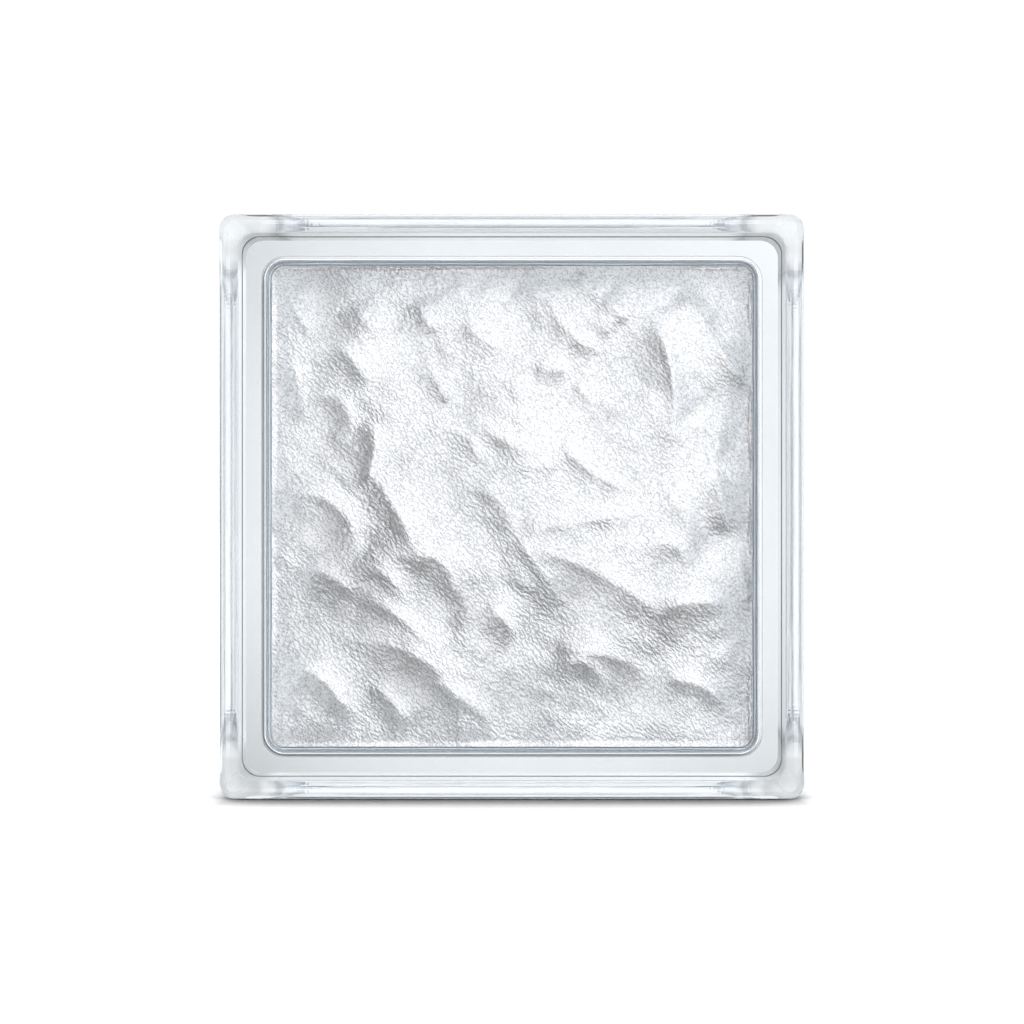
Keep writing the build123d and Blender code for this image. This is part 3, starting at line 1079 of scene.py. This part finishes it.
@dataclass
class KeyCoat:
    """White key coat on the floor of the mortar channel."""

    sizes: BlockSizes
    square: RoundedSquare
    gap: float = 0.03 * MM
    edge: float = 0.3 * MM
    edge_share: float = 0.3
    bead_inset: float = 0.3 * MM

    def build(self, finish: Material) -> bpy.types.Object:
        """Make the coat: its section, out over the bead and back inside, carried round the channel.

        Args:
            finish: its material.

        Returns:
            The piece.
        """
        s = self.sizes
        reach = s.coat_clearance + s.coat_thickness
        low = s.channel_half + self.gap
        top = s.channel_half + reach
        bead_low = low + s.bead_height
        bead_top = top + s.bead_height
        end = s.shoulder_start - s.coat_margin
        swell = s.bead_half_width + reach
        cut = self.edge_share * self.edge
        inset = s.bead_half_width - self.bead_inset
        outer = np.concatenate(
            (
                np.array(((low, end), (top - self.edge, end), (top - cut, end - cut))),
                line((top, end - self.edge), (top, swell + self.edge), 4),
                arc((bead_top - s.bead_edge, swell - s.bead_edge), s.bead_edge, 90.0, 0.0, 5),
            )
        )
        outer = np.concatenate((outer, outer[::-1] * np.array((1.0, -1.0))))
        inner = np.concatenate(
            (
                line((low, -end), (low, -s.bead_half_width), 3)[1:],
                line((bead_low, -inset), (bead_low, inset), 2),
                line((low, s.bead_half_width), (low, end), 3)[:-1],
            )
        )
        section = np.concatenate((outer, inner))
        half, depth = section[:, 0], section[:, 1]
        across, up, _ = self.square.rings(half, s.channel_corner + half - s.channel_half)
        back = -np.repeat(depth[:, None], across.shape[1], axis=1)
        points = np.stack((across, back, up + s.half_face), axis=-1)
        surface = Surface()
        index = surface.add_points(points)
        index = np.concatenate((index, index[:1]))
        index = np.concatenate((index, index[:, :1]), axis=1)
        surface.add_quads(index, flip=True)
        piece = surface.build("edge_coating_skin", [finish], {})
        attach(piece, "root")
        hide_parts("edge_coating")
        return piece


# Studio


@dataclass
class Studio:
    """Pale floor, soft light and the camera."""

    sizes: BlockSizes
    camera_distance: float = 0.89
    block_pixels: float = 587.0
    frame_pixels: float = 1024.0
    centre_pixels: float = 5.7
    sensor: float = 36.0
    floor_half: float = 12.0
    floor_colour: Colour = (0.9, 0.9, 0.9)
    shadow_colour: Colour = (0.0, 0.0, 0.0)
    shadow_reach: float = 26.0 * MM
    shadow_samples: int = 4
    shadow_open: Pair = (0.53, 0.97)
    shadow_end: Pair = (86.0 * MM, 100.0 * MM)
    flag_inner: Pair = (4.0, 13.0)
    flag_outer: Pair = (28.0, 42.0)
    flag_slant: Pair = (-0.14, 0.20)
    flag_light: Pair = (-0.88, 0.12)
    backdrop_light: float = 1.42
    ceiling_light: float = 1.7
    ceiling_start: Pair = (0.5, 0.9)
    seen_light: float = 1.05
    light_colour: Colour = (0.99, 0.99, 1.0)

    def camera(self) -> None:
        """Make the long-lens camera, straight on to the front face."""
        data = bpy.data.cameras.new("camera")
        data.sensor_width = self.sensor
        near = self.camera_distance - self.sizes.half_depth
        focal_pixels = self.block_pixels / (2.0 * self.sizes.half_face) * near
        data.lens = focal_pixels * data.sensor_width / self.frame_pixels
        camera = bpy.data.objects.new("camera", data)
        drop = self.centre_pixels / focal_pixels * near
        camera.location = (0.0, -self.camera_distance, self.sizes.half_face - drop)
        camera.rotation_euler = (math.pi / 2, 0.0, 0.0)
        bpy.context.scene.collection.objects.link(camera)
        bpy.context.scene.camera = camera

    def floor(self) -> None:
        """Make the floor, a sheet of matt white card with a painted shadow: its colour goes to black where
        the block is near, in front of and behind it but not beside it.
        """
        half = self.floor_half
        corners = [(-half, -half, 0.0), (half, -half, 0.0), (half, half, 0.0), (-half, half, 0.0)]
        mesh = bpy.data.meshes.new("floor")
        mesh.from_pydata(corners, [], [(0, 1, 2, 3)])
        floor = bpy.data.objects.new("floor", mesh)
        bpy.context.scene.collection.objects.link(floor)
        material, tree, shader = new_material("floor_card")
        # Painted shadow: ambient occlusion darkens the card's colour near the block, cut off past the
        # block's sides
        reach = {"Distance": self.shadow_reach}
        shade = add_node(tree, "ShaderNodeAmbientOcclusion", reach, samples=self.shadow_samples)
        aside = math_node(tree, "ABSOLUTE", split_node(tree, object_place(tree)).outputs["X"])
        past = smooth_range(tree, aside, *self.shadow_end, 0.0, 1.0)
        open_share = smooth_range(tree, shade.outputs["AO"], *self.shadow_open, 0.0, 1.0)
        share = math_node(tree, "MAXIMUM", open_share, past)
        paint(tree, shader, share, self.shadow_colour, self.floor_colour)
        shader.inputs["Roughness"].default_value = 1.0
        shader.inputs["Specular IOR Level"].default_value = 0.0
        mesh.materials.append(material)
        floor.visible_transmission = False

    def world(self) -> None:
        """Make the surroundings, a bright-field studio.

        The camera sees plain white past the block. All other rays see a white backdrop straight behind
        the block, grey flags in a ring round it, white walls further round and a brighter ceiling.
        """
        world = bpy.data.worlds.new("studio")
        bpy.context.scene.world = world
        world.use_nodes = True
        tree = world.node_tree
        tree.nodes.clear()
        split = split_node(tree, add_node(tree, "ShaderNodeTexCoord", {}).outputs["Generated"])
        onwards = math_node(tree, "ABSOLUTE", split.outputs["Y"])
        swing = math_node(tree, "ARCCOSINE", onwards)
        inner, outer = self.flag_inner, self.flag_outer
        near = smooth_range(tree, swing, math.radians(inner[0]), math.radians(inner[1]), 0.0, 1.0)
        far = smooth_range(tree, swing, math.radians(outer[0]), math.radians(outer[1]), 1.0, 0.0)
        slant = math_node(tree, "ADD", split.outputs["X"], split.outputs["Z"])
        side = smooth_range(tree, slant, *self.flag_slant, *self.flag_light)
        held = math_node(tree, "MULTIPLY", math_node(tree, "MINIMUM", near, far), side)
        ring = math_node(tree, "ADD", held, 1.0)
        lights = (self.backdrop_light, self.ceiling_light)
        sky = smooth_range(tree, split.outputs["Z"], *self.ceiling_start, *lights)
        light = {"Color": (*self.light_colour, 1.0), "Strength": math_node(tree, "MULTIPLY", ring, sky)}
        lit = add_node(tree, "ShaderNodeBackground", light)
        plain = {"Color": (1.0, 1.0, 1.0, 1.0), "Strength": self.seen_light}
        seen = add_node(tree, "ShaderNodeBackground", plain)
        direct = add_node(tree, "ShaderNodeLightPath", {}).outputs["Is Camera Ray"]
        mix = add_node(tree, "ShaderNodeMixShader", {0: direct, 1: lit.outputs[0], 2: seen.outputs[0]})
        add_node(tree, "ShaderNodeOutputWorld", {"Surface": mix.outputs[0]})

    def build(self) -> None:
        """Make the whole studio."""
        self.camera()
        self.floor()
        self.world()
        scene = bpy.context.scene
        scene.view_settings.view_transform = "Standard"
        scene.view_settings.look = "None"


def main() -> None:
    """Build the studio and the three pieces of the block."""
    logging.basicConfig(level=logging.INFO, format="%(name)s: %(message)s")
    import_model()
    sizes = BlockSizes()
    front_relief = Relief(sizes)
    rear_relief = Relief(sizes, crease_share=0.35, widen=2.5, wrinkles=0)
    square = RoundedSquare(straight_cells=196, corner_cells=6)
    studio = Studio(sizes)
    studio.build()
    patterns = Patterns()
    grain = patterns.grain()
    glass = GlassFinish().build(grain, patterns.ribs())
    coat = CoatFinish().build(grain)
    shells = (
        GlassShell("front_shell_glass", "front_shell", False, sizes, front_relief, square),
        GlassShell("rear_shell_glass", "rear_shell", True, sizes, rear_relief, square),
    )
    for shell in shells:
        piece = shell.build(glass)
        LOG.info("%s: %d faces", piece.name, len(piece.data.polygons))
    piece = KeyCoat(sizes, RoundedSquare(straight_cells=60, corner_cells=6)).build(coat)
    LOG.info("%s: %d faces", piece.name, len(piece.data.polygons))


if __name__ == "__main__":
    main()
